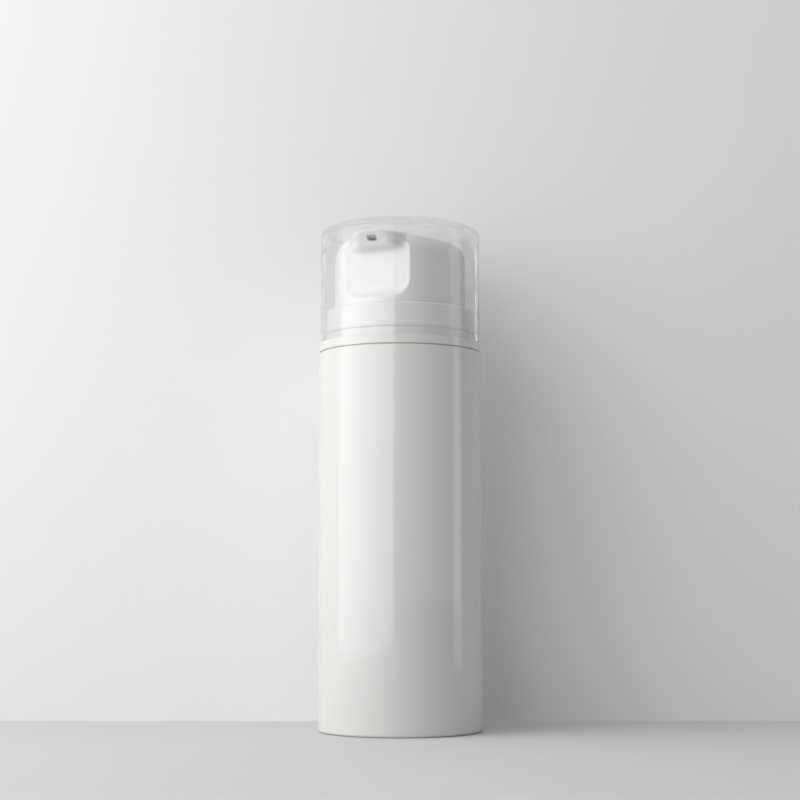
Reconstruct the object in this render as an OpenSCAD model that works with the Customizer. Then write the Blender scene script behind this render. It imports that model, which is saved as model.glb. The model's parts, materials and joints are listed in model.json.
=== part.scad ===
// Airless pump bottle: a barrel with a rising follower, a sprung dosing pump and a clear overcap.
// Millimetres, +Z up, origin at the centre of the resting face, nozzle towards -Y.

/* [Bottle] */
// Outer radius of the barrel and of the shoulder ring
body_r = 23; // [20.5:0.25:26]
// Height of the barrel up to its shoulder
body_h = 105.65; // [100:0.5:140]
// Thickness of the barrel's wall
body_wall = 2.2; // [1.6:0.1:2.6]
// Thickness of the shoulder that closes the barrel's top
shoulder_t = 2.2; // [1.6:0.1:3]
// Radius of the edge round the resting face
foot_edge_r = 0.8; // [0.3:0.1:1]
// Outer radius of the neck
neck_r = 12.5; // [11.5:0.1:13.5]
// Thickness of the neck's wall
neck_wall = 2; // [1.6:0.1:2.1]
// Height of the neck above the shoulder
neck_h = 6.35; // [6:0.1:8]

/* [Base disc] */
// Height of the pocket under the barrel that takes the disc
disc_pocket_h = 2.8; // [2.4:0.1:3.6]
// Step in the bore that the disc stops against
disc_step = 0.5; // [0.3:0.1:0.6]
// Thickness of the disc's plate
disc_t = 1.4; // [1:0.1:1.8]
// Distance that the disc's rim stays above the resting face
disc_recess = 0.4; // [0.2:0.1:0.8]
// Radius of the air vent
vent_r = 0.8; // [0.5:0.1:1.5]

/* [Follower piston] */
// Height of the follower's well above the edge of its lower lip
well_lift = 0.85; // [0.5:0.05:4]
// Thickness of the follower's walls
follower_wall = 1.3; // [1:0.1:1.6]
// Distance that the lips stand out from the follower's side
lip_flare = 0.75; // [0.5:0.05:1]
// Height of the boss that reaches into the neck
boss_h = 6; // [4:0.5:7]

/* [Pump] */
// Radius of the dosing chamber's bore
chamber_r = 5.5; // [5.2:0.1:6]
// Thickness of the chamber's wall
chamber_wall = 1.1; // [0.9:0.1:1.4]
// Travel of the head
stroke = 6; // [4:0.5:6]
// Travel of the piston on the stem, which opens its port
lost_motion = 0.8; // [0.5:0.1:1]
// Outer radius of the stem
stem_r = 3; // [2.8:0.1:3.2]
// Radius of the stem's passage
stem_bore_r = 1.7; // [1.4:0.1:1.9]
// Length of the piston's sleeve
piston_len = 4.5; // [4:0.1:5.5]
// Thickness of the neck gasket
gasket_t = 1; // [0.6:0.1:1.5]
// Thickness of the pump's flange
flange_t = 1.4; // [1:0.1:2]
// Depth of the cup in the flange that holds the housing cap
cup_depth = 2.6; // [2:0.1:3]
// Space between the cup and the neck
cup_space = 1.5; // [1.3:0.1:1.7]
// Thickness of the cup's wall
cup_wall = 1; // [0.8:0.1:1.2]
// Thickness of the housing cap's plate
plate_t = 1; // [0.8:0.1:1.4]
// Length of the housing cap's plug
plug_len = 3.4; // [2.5:0.1:4.5]

/* [Inlet valve] */
// Radius of the inlet ball
ball_r = 2; // [1.8:0.1:2.1]
// Lift of the ball from its seat
ball_lift = 1.2; // [0.8:0.1:1.5]
// Radius of the hole in the seat
seat_hole_r = 1.3; // [1:0.05:1.35]
// Height of the seat below its cone
seat_h = 2; // [1.5:0.1:3]
// Outer radius of the seat
seat_r = 3.2; // [3:0.1:3.5]
// Thickness of the cross that stops the ball
cage_t = 0.8; // [0.6:0.1:1]

/* [Return spring] */
// Radius of the spring's wire
wire_r = 0.4; // [0.3:0.05:0.45]
// Mean radius of the spring
coil_r = 5.1; // [4.8:0.1:5.3]
// Number of turns
coil_turns = 6; // [4:0.5:6.5]

/* [Closure, collar and ring] */
// Thickness of the snap closure's wall
closure_wall = 1.4; // [1.2:0.05:1.45]
// Thickness of the closure's top
closure_t = 1.4; // [1:0.1:1.6]
// Width by which the closure's top laps over the cup
closure_lap = 0.5; // [0.3:0.1:0.8]
// Thickness of the collar's wall
collar_wall = 2; // [1.6:0.1:2.2]
// Height of the collar above the shoulder ring
collar_h = 9.25; // [8.5:0.25:9.25]
// Thickness of the flanges under the collar and of its floor
floor_t = 1; // [0.8:0.05:1.2]
// Distance that the snap bead stands out from the collar
bead_out = 0.25; // [0.15:0.05:0.3]
// Height of the bead's middle above the shoulder ring
bead_h = 3.1; // [2:0.1:6]
// Height of the shoulder ring's visible band
ring_h = 2.5; // [2:0.1:5]
// Height of the seam between the barrel and the ring
seam_h = 0.3; // [0.2:0.05:0.5]
// Depth of that seam
seam_depth = 0.6; // [0.3:0.1:0.9]

/* [Pump head] */
// Space between the head's skirt and the collar
head_space = 0.4; // [0.35:0.05:0.6]
// Thickness of the head's wall
head_wall = 1.3; // [1:0.1:1.5]
// Length of skirt inside the collar
skirt_dip = 3.5; // [3:0.1:3.5]
// Height of the flat crown above the collar's rim
crown_h = 17.3; // [17:0.1:18]
// Thickness of the head's roof
roof_t = 1.8; // [1.4:0.1:2]
// Width of the rounded shoulder
round_w = 3.2; // [2.5:0.1:3.5]
// Height of the rounded shoulder
round_h = 5; // [4:0.1:5.5]
// Depth of the front face behind the skirt
face_depth = 2.8; // [2.4:0.1:3]
// Distance from the axis at which the crown starts to rise
ramp_y = 4; // [2:0.5:6]
// Radius of the rising crown
ramp_r = 40; // [36:1:50]
// Height of the outlet slot
slot_h = 1.45; // [1.2:0.05:1.6]
// Width of the outlet slot
slot_w = 2.8; // [2.2:0.1:3.2]
// Upward slope of the spout in degrees
spout_tilt = 14; // [13.5:0.1:14.4]

/* [Overcap] */
// Distance that the overcap stands in from the barrel's side
cap_inset = 0.4; // [0.1:0.05:0.5]
// Thickness of the overcap's wall
cap_wall = 1.2; // [1:0.05:1.25]
// Thickness of the overcap's top
cap_top_t = 1.4; // [1:0.1:1.6]
// Room between the nozzle's lip and the overcap's top
cap_room = 2.2; // [2:0.1:8]
// Radius of the overcap's outer edge
cap_edge_r = 1.8; // [1:0.1:2.2]

/* [Fits] */
// Radial clearance of sliding and pressed fits
fit = 0.05; // [0.02:0.01:0.1]
// Clearance between pieces that pass each other
gap = 0.3; // [0.2:0.05:0.35]
// Clearance between the snap bead and the overcap
bead_play = 0.15; // [0.1:0.05:0.3]

/* [Hidden] */
$fn = 96;

barrel_colour = [0.93, 0.93, 0.91];
pump_colour = [0.95, 0.95, 0.95];
inner_colour = [0.88, 0.89, 0.90];
seal_colour = [0.80, 0.82, 0.84];
steel_colour = [0.72, 0.73, 0.75];
cap_colour = [0.85, 0.88, 0.88, 0.3];

edge = 0.3;          // small broken edge, and the depth that a rib sinks into its wall
chute = 1.2;         // height of a 45 degree lead-in or web
over = 1;            // overshoot of a cutting solid
bore_r = body_r - body_wall;
pocket_r = bore_r + disc_step;
cap_r = body_r - cap_inset;
cap_in_r = cap_r - cap_wall;
cap_inner_edge_r = cap_edge_r / 2;
collar_r = cap_in_r - bead_play - bead_out;
collar_in_r = collar_r - collar_wall;
head_r = collar_in_r - head_space;
face_y = head_r - face_depth;
ceiling_z = body_h - shoulder_t;
neck_in_r = neck_r - neck_wall;
cup_r = neck_in_r - cup_space - cup_wall;
closure_hole_r = cup_r - closure_lap;
rim_z = body_h + neck_h;
catch_out = 0.4;     // snap bead of the neck
catch_half = 0.7;
catch_z = body_h + neck_h / 2;

flange_z = rim_z + gasket_t;
housing_top_z = flange_z + flange_t;
cup_floor_z = housing_top_z - cup_depth;
plate_z = cup_floor_z + plate_t;
tube_r = chamber_r + chamber_wall;

stop_t = 1.2;        // stem's stop flange under the housing cap
stop_r = 4.4;
stop_play = 0.2;
stop_z = cup_floor_z - plug_len - stop_play;
piston_top_z = stop_z - stop_t - lost_motion - stop_play;
port_play = 0.1;     // closed port of the piston, drawn just open
plug_head_t = 1.4;
plug_head_r = 4;
plug_top_z = piston_top_z - piston_len - port_play;
plug_low_z = plug_top_z - plug_head_t;
stem_low_z = plug_top_z + plug_head_t;
bottom_play = 0.8;   // left under the stem plug at full stroke
cage_z = plug_low_z - stroke - bottom_play - cage_t;

contact = cos(45);   // the ball sits on a 45 degree cone
rest_play = 0.03;
ball_play = 0.05;
ball_z = cage_z - ball_lift - ball_r - ball_play;
cone_h = 1;
cone_z = ball_z - ball_r * contact - (ball_r * contact - seat_hole_r) - rest_play;
seat_top_z = cone_z + cone_h;
seat_low_z = cone_z - seat_h;
valve_r = ball_r + gap;
inlet_r = seat_r + chamber_wall;
inlet_step_z = cage_z - chute;

disc_top_z = disc_pocket_h;
follower_z = disc_top_z + gap;
follower_h = ceiling_z - seat_low_z + follower_wall + well_lift;
parked_z = ceiling_z - gap - follower_h;
follower_travel = parked_z - follower_z;

closure_r = neck_r + fit + closure_wall;
closure_top_z = housing_top_z + closure_t;
ring_z = body_h + seam_h;
ring_top_z = ring_z + ring_h;
collar_floor_z = body_h + floor_t;
collar_top_z = ring_top_z + collar_h;

crown_z = collar_top_z + crown_h;
skirt_z = collar_top_z - skirt_dip;
roof_z = crown_z - roof_t;
cavity_r = head_r - head_wall;
spout_drop = 4;      // from the flat crown to the spout's line at the axis
spout_z = crown_z - spout_drop;

spring_play = 0.05;  // at each end of the spring
spring_flange_t = 1;
spring_flange_r = 6.2;
stem_grip = 3.5;     // length of stem inside the head's socket
stem_drop = 1.5;     // from the spout's line to the stem's top
stem_top_z = spout_z - stem_drop;
spring_top_z = stem_top_z - stem_grip - spring_flange_t;
socket_z = spring_top_z + spring_flange_t + port_play;

block_r = 5;         // core's block, held by the head's inner tube
tube_wall = 1.2;
rib_t = 1;
rib_h = 3;
rib_angles = [-30, 30, 90, 150, 210];
lip_space = 0.5;     // between the nozzle's lip and the overcap
lip_y = cap_in_r - lip_space;
lip_rise = 2.6;      // height of the lip above the flat crown
spout_wall = 0.7;
slot_depth = 5.6;    // outlet beyond the core's spout
spout_end_y = lip_y - slot_depth;

function mix(a, b, t) = a + (b - a) * t;
function ease(t) = let (c = min(max(t, 0), 1)) c * c * (3 - 2 * c);
function arc(centre, r, from, to, steps = 6) =
    [for (i = [0:steps]) centre + r * [cos(mix(from, to, i / steps)), sin(mix(from, to, i / steps))]];

// Solid of revolution from a profile of [radius, height] points
module revolve(profile) {
    rotate_extrude() polygon(profile);
}

// Ring with flat ends
module ring(r_out, r_in, z_low, z_high) {
    translate([0, 0, z_low]) difference() {
        cylinder(r = r_out, h = z_high - z_low);
        translate([0, 0, -over]) cylinder(r = r_in, h = z_high - z_low + 2 * over);
    }
}

module bottle_body() {
    color(barrel_colour) revolve(concat(
        [[pocket_r, 0]],
        arc([body_r - foot_edge_r, foot_edge_r], foot_edge_r, -90, 0),
        [[body_r, body_h - edge],
         [body_r - edge, body_h],
         [neck_r, body_h],
         [neck_r, catch_z - catch_half],
         [neck_r + catch_out, catch_z],
         [neck_r, catch_z + catch_half],
         [neck_r, rim_z],
         [neck_in_r, rim_z],
         [neck_in_r, ceiling_z],
         [bore_r - edge, ceiling_z],
         [bore_r, ceiling_z - edge],
         [bore_r, disc_pocket_h],
         [pocket_r, disc_pocket_h]]
    ));
}

// Snapped-in bottom: a plate with a stiffening rim, a raised ring on the follower's side and a vent
module base_disc() {
    rim_r = pocket_r - fit;
    plate_low_z = disc_top_z - disc_t;
    rim_in_r = rim_r - disc_t;
    web_r = rim_r / 2;
    web_z = disc_recess + edge;
    web_h = plate_low_z + edge - web_z;
    color(barrel_colour) difference() {
        revolve([
            [0, plate_low_z],
            [rim_in_r - edge, plate_low_z],
            [rim_in_r, disc_recess],
            [rim_r - edge, disc_recess],
            [rim_r, disc_recess + edge],
            [rim_r, disc_top_z],
            [rim_r - chute, disc_top_z],
            [rim_r - chute - edge, disc_top_z - edge],
            [0, disc_top_z - edge]
        ]);
        translate([0, 0, -over]) cylinder(r = vent_r, h = disc_top_z + 2 * over);
    }
    color(barrel_colour) ring(web_r + disc_t, web_r, web_z, web_z + web_h);
    color(barrel_colour) for (a = [0:60:300]) rotate(a)
        translate([web_r + disc_t / 2, -rib_t / 2, web_z])
            cube([rim_in_r + edge - web_r - disc_t / 2, rib_t, web_h]);
}

// Two-lipped follower whose crown is the negative of the pump above it
module follower_piston() {
    side_r = bore_r - fit - lip_flare;
    lip_r = bore_r - fit;
    lip_t = 0.6;
    lip_h = 1.2;
    lip_taper = 2;
    boss_r = neck_in_r - 2 * gap;
    well_r = tube_r + 2 * gap;
    inlet_well_r = inlet_r + 2 * gap;
    top_z = follower_z + follower_h;
    crown_z = top_z - lip_h - lip_t;
    boss_z = crown_z + boss_h;
    step_z = inlet_step_z - gap - follower_travel;
    well_z = seat_low_z - gap - follower_travel;
    w = follower_wall;
    color(seal_colour) revolve([
        [0, well_z],
        [inlet_well_r, well_z],
        [inlet_well_r, step_z - chute],
        [well_r, step_z],
        [well_r, boss_z],
        [boss_r, boss_z],
        [boss_r, crown_z],
        [side_r - w, crown_z],
        [side_r - edge, top_z - edge],
        [lip_r - edge, top_z],
        [lip_r, top_z - edge],
        [lip_r, top_z - lip_h],
        [side_r, top_z - lip_h - lip_taper],
        [side_r, follower_z + lip_h + lip_taper],
        [lip_r, follower_z + lip_h],
        [lip_r, follower_z + edge],
        [lip_r - edge, follower_z],
        [side_r - edge, follower_z + edge],
        [side_r - w, follower_z + lip_h + lip_taper],
        [side_r - w, crown_z - w],
        [well_r + w, crown_z - w],
        [well_r + w, step_z - w / 2],
        [inlet_well_r + w, step_z - chute - w / 2],
        [inlet_well_r + w, well_z - w],
        [0, well_z - w]
    ]);
}

module neck_gasket() {
    color(seal_colour) ring(neck_r - edge, neck_in_r, rim_z, flange_z);
}

// Dosing chamber hung from the neck by a cupped flange, with the inlet nozzle at its foot
module pump_housing() {
    color(inner_colour) revolve([
        [chamber_r, cup_floor_z],
        [cup_r, cup_floor_z],
        [cup_r, housing_top_z],
        [neck_r - fit, housing_top_z],
        [neck_r - fit, flange_z],
        [cup_r + cup_wall, flange_z],
        [cup_r + cup_wall, cup_floor_z - chute],
        [tube_r, cup_floor_z - chute],
        [tube_r, inlet_step_z],
        [inlet_r, inlet_step_z - chute],
        [inlet_r, seat_low_z],
        [seat_r, seat_low_z],
        [seat_r, seat_top_z],
        [valve_r, seat_top_z],
        [valve_r, cage_z],
        [chamber_r, cage_z]
    ]);
}

// Plug that closes the chamber and guides the stem
module housing_cap() {
    guide_r = stem_r + fit;
    color(inner_colour) revolve([
        [guide_r, stop_z + stop_play],
        [chamber_r - fit, stop_z + stop_play],
        [chamber_r - fit, cup_floor_z],
        [cup_r - fit, cup_floor_z],
        [cup_r - fit, plate_z],
        [coil_r - wire_r - gap, plate_z],
        [coil_r - wire_r - gap, plate_z + edge],
        [guide_r, plate_z + edge]
    ]);
}

module inlet_seat() {
    color(inner_colour) revolve([
        [seat_hole_r, seat_low_z],
        [seat_r - fit, seat_low_z],
        [seat_r - fit, seat_top_z],
        [seat_hole_r + cone_h, seat_top_z],
        [seat_hole_r, cone_z]
    ]);
}

module inlet_ball() {
    color(steel_colour) translate([0, 0, ball_z]) sphere(r = ball_r);
}

// Cross in a ring, seated on the chamber's floor
module ball_cage() {
    color(inner_colour) {
        ring(chamber_r - fit, valve_r, cage_z, cage_z + cage_t);
        for (a = [0, 90]) rotate(a)
            translate([-valve_r - edge, -rib_t / 2, cage_z])
                cube([2 * (valve_r + edge), rib_t, cage_t]);
    }
}

// Sliding seal with a lip at each end, on a sleeve that slides on the stem
module pump_piston() {
    sleeve_r = stem_r + fit;
    sleeve_t = 1;
    web_r = stem_r + sleeve_t;
    lip_r = chamber_r - fit;
    low_z = piston_top_z - piston_len;
    mid_z = piston_top_z - piston_len / 2;
    lip_z = 0.4;
    lip_reach = 1.6;
    color(seal_colour) revolve([
        [sleeve_r, low_z],
        [web_r, low_z],
        [web_r, mid_z - lip_z],
        [lip_r - 2 * lip_z, low_z + lip_z],
        [lip_r, low_z + lip_z],
        [lip_r, low_z + 2 * lip_z],
        [lip_r - lip_z, mid_z - lip_z],
        [lip_r - lip_z, mid_z + lip_z],
        [lip_r, mid_z + lip_reach - lip_z],
        [lip_r, mid_z + lip_reach],
        [lip_r - 2 * lip_z, mid_z + lip_reach],
        [web_r, mid_z + lip_z],
        [web_r, piston_top_z],
        [sleeve_r, piston_top_z]
    ]);
}

// Foot of the stem: a head under the piston and a fluted plug in the stem's passage
module stem_plug() {
    shank_r = stem_bore_r - fit;
    shank_h = 5;
    flute = 0.8;
    color(inner_colour) difference() {
        revolve([
            [0, plug_low_z],
            [plug_head_r - edge, plug_low_z],
            [plug_head_r, plug_low_z + edge],
            [plug_head_r, plug_top_z],
            [stem_r - gap, plug_top_z],
            [stem_r - gap, stem_low_z],
            [shank_r, stem_low_z],
            [shank_r, stem_low_z + shank_h - edge],
            [shank_r - edge, stem_low_z + shank_h],
            [0, stem_low_z + shank_h]
        ]);
        for (a = [0:90:270]) rotate(a)
            translate([shank_r - flute, -flute / 2, plug_top_z + edge])
                cube([stem_r, flute, plug_head_t + shank_h]);
    }
}

// Hollow rod with a stop flange below the housing cap and a spring flange above it
module stem() {
    color(inner_colour) revolve([
        [stem_bore_r, stem_low_z],
        [stem_r, stem_low_z],
        [stem_r, stop_z - stop_t],
        [stop_r, stop_z - stop_t],
        [stop_r, stop_z],
        [stem_r, stop_z],
        [stem_r, spring_top_z],
        [spring_flange_r, spring_top_z],
        [spring_flange_r, spring_top_z + spring_flange_t],
        [stem_r, spring_top_z + spring_flange_t],
        [stem_r, stem_top_z - edge],
        [stem_r - edge, stem_top_z],
        [stem_bore_r, stem_top_z]
    ]);
}

// Helical spring: one unbroken tube swept along its wire, with straight ends one wire thick
spring_low_z = plate_z + wire_r + spring_play;
spring_high_z = spring_top_z - wire_r - spring_play;
coil_rings = 8;
wire_sides = 6;
ring_count = coil_turns * coil_rings;
function coil_point(i) =
    let (a = 360 * i / coil_rings)
    [coil_r * cos(a), coil_r * sin(a), mix(spring_low_z, spring_high_z, i / ring_count)];
function coil_run(i) = let (a = 360 * i / coil_rings) 2 * wire_r * [-sin(a), cos(a), 0];
wire_path = concat(
    [coil_point(0) - coil_run(0)],
    [for (i = [0:ring_count]) coil_point(i)],
    [coil_point(ring_count) + coil_run(ring_count)]
);
function wire_angle(j) = 360 * (min(max(j, 1), ring_count + 1) - 1) / coil_rings;
function wire_ring(j) =
    let (a = wire_angle(j), out = [cos(a), sin(a), 0])
    [for (s = [0:wire_sides - 1])
        wire_path[j] + wire_r * (cos(360 * s / wire_sides) * out + [0, 0, sin(360 * s / wire_sides)])];
least_turn_gap = (spring_high_z - spring_low_z) / coil_turns - 2 * wire_r;

module return_spring() {
    last = len(wire_path) - 1;
    n = wire_sides;
    points = [for (j = [0:last], p = wire_ring(j)) p];
    sides = [for (j = [0:last - 1], s = [0:n - 1])
        let (a = j * n + s, b = j * n + (s + 1) % n)
        each [[a, b, b + n], [a, b + n, a + n]]];
    ends = [for (s = [1:n - 2]) each [[0, s + 1, s], [last * n, last * n + s, last * n + s + 1]]];
    echo(least_turn_gap = least_turn_gap);
    color(steel_colour) polyhedron(points, concat(sides, ends));
}

// Cap that snaps over the neck's bead and clamps the pump's flange on the gasket
module snap_closure() {
    inner_r = neck_r + fit;
    catch_floor_z = collar_floor_z + floor_t + fit;
    color(inner_colour) revolve([
        [inner_r, body_h],
        [collar_in_r - 2 * fit, body_h],
        [collar_in_r - 2 * fit, collar_floor_z],
        [closure_r, collar_floor_z],
        [closure_r, catch_floor_z],
        [closure_r + 2 * fit, catch_floor_z + edge],
        [closure_r, catch_floor_z + 3 * edge],
        [closure_r, closure_top_z - edge],
        [closure_r - edge, closure_top_z],
        [closure_hole_r, closure_top_z],
        [closure_hole_r, housing_top_z],
        [inner_r, housing_top_z],
        [inner_r, catch_z + catch_half],
        [inner_r + catch_out, catch_z],
        [inner_r, catch_z - catch_half]
    ]);
}

module shoulder_ring() {
    color(barrel_colour) revolve([
        [collar_in_r, body_h],
        [body_r - seam_depth, body_h],
        [body_r - seam_depth, ring_z],
        [body_r - edge / 2, ring_z],
        [body_r, ring_z + edge / 2],
        [body_r, ring_top_z - edge],
        [body_r - edge, ring_top_z],
        [collar_r + fit, ring_top_z],
        [collar_r + fit, collar_floor_z],
        [collar_in_r, collar_floor_z]
    ]);
}

// Raised collar with the overcap's snap bead; its floor is caught under the closure's bead
module pump_collar() {
    bead_z = ring_top_z + bead_h;
    bead_half = 0.4;
    rim_edge_r = 2 * edge;
    color(pump_colour) revolve(concat(
        [[closure_r + fit, collar_floor_z],
         [collar_r, collar_floor_z],
         [collar_r, bead_z - 2 * bead_half],
         [collar_r + bead_out, bead_z - bead_half],
         [collar_r + bead_out, bead_z + bead_half],
         [collar_r, bead_z + 2 * bead_half]],
        arc([collar_r - rim_edge_r, collar_top_z - rim_edge_r], rim_edge_r, 0, 90),
        [[collar_in_r + edge, collar_top_z],
         [collar_in_r, collar_top_z - edge],
         [collar_in_r, collar_floor_z + floor_t],
         [closure_r + fit, collar_floor_z + floor_t]]
    ));
}

// Outer form of the head, as rings of points [angle from the nozzle, station up the side].
// Each station is a blend of the head's own profile and the nozzle's profile.
face_rise = 1.3;      // from the collar's rim to the lower end of the face's run-out
face_low_z = collar_top_z + face_rise;
runout_h = 3;
face_drop = 1;        // from the flat crown to the upper end of the face
face_high_z = crown_z - face_drop;
face_half_w = 10.3;
face_corner_r = 3.5;
face_soft = 0.9;      // width of the softened edge round the face
front_limit = 60;     // the face and the nozzle lie within this angle of the front
upper_drop = 6.5;     // from the flat crown to where the two profiles part
upper_z = crown_z - upper_drop;
rim_r = head_r - round_w;
crown_limit = 2.9;    // greatest rise of the crown
function crown_at(u) = crown_z + (u < ramp_y ? 0 : min(pow(u - ramp_y, 2) / (2 * ramp_r), crown_limit));

// Distance inside the rounded outline of the front face, across x and up z
function inside_face(x, z) =
    let (mid = (face_low_z + face_high_z) / 2,
         half = (face_high_z - face_low_z) / 2 + edge,
         px = max(abs(x) - face_half_w + face_corner_r, 0),
         pz = max(abs(z - mid) - half + face_corner_r, 0))
    face_corner_r - norm([px, pz]);
function runout(z) = let (s = min(max((z - face_low_z) / runout_h, 0), 1)) sqrt(1 - pow(1 - s, 2));
function cut_radius(r, a, z) =
    let (flat_r = abs(a) < front_limit ? face_y / cos(a) : r,
         depth = ease(inside_face(r * sin(a), z) / face_soft) * runout(z))
    r - depth * max(r - flat_r, 0);

// Head's own profile: up the side, round the shoulder, to the crown's rim; t runs from 0 to 1
side_share = 0.25;
function head_station(a, t) =
    let (rim = crown_at(rim_r * cos(a)),
         turn = 90 * max(t - side_share, 0) / (1 - side_share),
         r = rim_r + round_w * cos(turn),
         z = t < side_share
            ? mix(upper_z, rim - round_h, t / side_share)
            : rim - round_h + round_h * sin(turn))
    [cut_radius(r, a, z), z];

// Nozzle's profile on the centre line: [distance from the axis, height below the lip, half width]
beak = [
    [face_y, 9.1, 3], [face_y, 7.5, 3], [face_y, 6, 3], [face_y + 0.15, 5.2, 3],
    [face_y + 0.7, 4.5, 3.2], [face_y + 1.4, 3.95, 3.4], [lip_y - 2.9, 3.4, 3.6],
    [lip_y - 2, 2.4, 3.8], [lip_y - 1.1, 1.3, 3.5], [lip_y - 0.3, 0.4, 2.9], [lip_y, 0, 2.6],
    [lip_y - 0.15, -0.2, 2.5], [lip_y - 0.7, -0.3, 2.6], [lip_y - 2.4, -0.15, 3.2],
    [lip_y - 4.1, 0.3, 4]
];
lip_z = crown_z + lip_rise;
beak_soft = 3.8;      // width over which the nozzle's side blends into the head
stations = len(beak);
function beak_weight(a, k) =
    abs(a) > front_limit ? 0 : 1 - ease((abs(beak[k][0] * tan(a)) - beak[k][2] + edge) / beak_soft);
function upper_station(a, k) =
    let (own = head_station(a, k / stations), w = beak_weight(a, k))
    w == 0 ? own : mix(own, [beak[k][0] / cos(a), lip_z - beak[k][1]], w);

side_levels = concat(
    [skirt_z, face_low_z - edge],
    [for (s = [0, 0.08, 0.25, 0.5, 0.75, 1]) face_low_z + runout_h * s],
    [mix(face_low_z + runout_h, upper_z, 0.5)]
);
crown_rings = 4;
front_angle = 36;
front_step = 2;
back_step = 6;
head_angles = concat(
    [for (a = [-front_angle:front_step:front_angle]) a],
    [for (a = [front_angle + back_step:back_step:360 - front_angle - back_step]) a > 180 ? a - 360 : a]
);
function head_ring(k) = [for (a = head_angles)
    let (p = k < len(side_levels) ? [cut_radius(head_r, a, side_levels[k]), side_levels[k]]
            : k < len(side_levels) + stations ? upper_station(a, k - len(side_levels))
            : let (r = rim_r * (1 - (k - len(side_levels) - stations) / crown_rings))
              [r, crown_at(r * cos(a))])
    [p[0] * sin(a), -p[0] * cos(a), p[1]]];

module head_form() {
    rings = len(side_levels) + stations + crown_rings;
    n = len(head_angles);
    low = rings * n;
    points = concat(
        [for (k = [0:rings - 1], p = head_ring(k)) p],
        [[0, 0, skirt_z], [0, 0, crown_z]]
    );
    sides = [for (k = [0:rings - 2], i = [0:n - 1])
        let (a = k * n + i, b = k * n + (i + 1) % n)
        each [[a, b + n, b], [a, a + n, b + n]]];
    ends = [for (i = [0:n - 1])
        let (j = (i + 1) % n, top = (rings - 1) * n)
        each [[low, i, j], [low + 1, top + j, top + i]]];
    polyhedron(points, concat(sides, ends));
}

// Straight slot up the spout's line: half height and half width round the passage, from y to y
module spout_bar(half_h, half_w, from_y, to_y) {
    translate([0, 0, spout_z]) rotate([-spout_tilt, 0, 0])
        translate([-half_w, -to_y / cos(spout_tilt), -half_h])
            cube([2 * half_w, (to_y - from_y) / cos(spout_tilt), 2 * half_h]);
}

// White head: hollow shell with an inner tube and ribs that grip the core
module actuator_shell() {
    face_wall_y = face_y - head_wall;
    slope = 2 * head_wall;
    tube_low_z = roof_z - rib_h;
    tube_r_in = block_r + fit;
    rib_start = tube_r_in + tube_wall / 2;
    color(pump_colour) difference() {
        head_form();
        intersection() {
            revolve([
                [0, skirt_z],
                [cavity_r, skirt_z],
                [cavity_r, roof_z - slope],
                [cavity_r - head_wall, roof_z],
                [0, roof_z]
            ]);
            translate([-head_r, -face_wall_y, skirt_z - over])
                cube([2 * head_r, face_wall_y + head_r, roof_z - skirt_z + 2 * over]);
        }
        translate([0, 0, skirt_z - over])
            cylinder(r = cavity_r, h = face_low_z - head_wall - skirt_z + over);
        spout_bar(slot_h / 2 + spout_wall + fit, slot_w / 2 + spout_wall + fit, 0, spout_end_y + fit);
        spout_bar(slot_h / 2, slot_w / 2, spout_end_y - over, lip_y + 2 * over);
    }
    color(pump_colour) difference() {
        union() {
            ring(tube_r_in + tube_wall, tube_r_in, tube_low_z, roof_z + edge);
            for (a = rib_angles) rotate(a)
                translate([rib_start, -rib_t / 2, tube_low_z])
                    cube([cavity_r + edge - rib_start, rib_t, rib_h + edge]);
        }
        spout_bar(slot_h / 2 + spout_wall + fit, slot_w / 2 + spout_wall + fit, 0, head_r);
    }
}

// Insert that joins the stem's passage to the outlet
module actuator_core() {
    color(inner_colour) difference() {
        union() {
            translate([0, 0, socket_z]) cylinder(r = block_r, h = roof_z - socket_z);
            spout_bar(slot_h / 2 + spout_wall, slot_w / 2 + spout_wall, 0, spout_end_y);
        }
        translate([0, 0, socket_z - over])
            cylinder(r = stem_r + fit, h = stem_top_z + fit - socket_z + over);
        translate([0, 0, socket_z]) cylinder(r = stem_bore_r, h = spout_z - socket_z);
        spout_bar(slot_h / 2, slot_w / 2, 0, lip_y);
    }
}

// Clear cap with a rounded top edge, standing on the shoulder ring
module overcap() {
    roof = lip_z + cap_room;
    top_z = roof + cap_top_t;
    color(cap_colour) revolve(concat(
        [[cap_in_r + edge, ring_top_z], [cap_r - edge, ring_top_z], [cap_r, ring_top_z + edge]],
        arc([cap_r - cap_edge_r, top_z - cap_edge_r], cap_edge_r, 0, 90),
        [[0, top_z], [0, roof]],
        arc([cap_in_r - cap_inner_edge_r, roof - cap_inner_edge_r], cap_inner_edge_r, 90, 0),
        [[cap_in_r, ring_top_z + edge]]
    ));
}

bottle_body();
base_disc();
follower_piston();
neck_gasket();
pump_housing();
housing_cap();
inlet_seat();
inlet_ball();
ball_cage();
pump_piston();
stem_plug();
stem();
return_spring();
snap_closure();
shoulder_ring();
pump_collar();
actuator_core();
actuator_shell();
overcap();
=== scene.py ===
# Airless pump bottle with a clear overcap: the finished pieces, their materials and a plain studio,
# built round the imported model. Metres, +Z up, origin at the centre of the resting face, nozzle to -Y.
import json
from math import atan2, cos, degrees, hypot, pi, radians, sin, tan

import bmesh
import bpy
from bpy.props import FloatProperty, FloatVectorProperty, IntProperty, PointerProperty
from mathutils import Matrix, Vector

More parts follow.
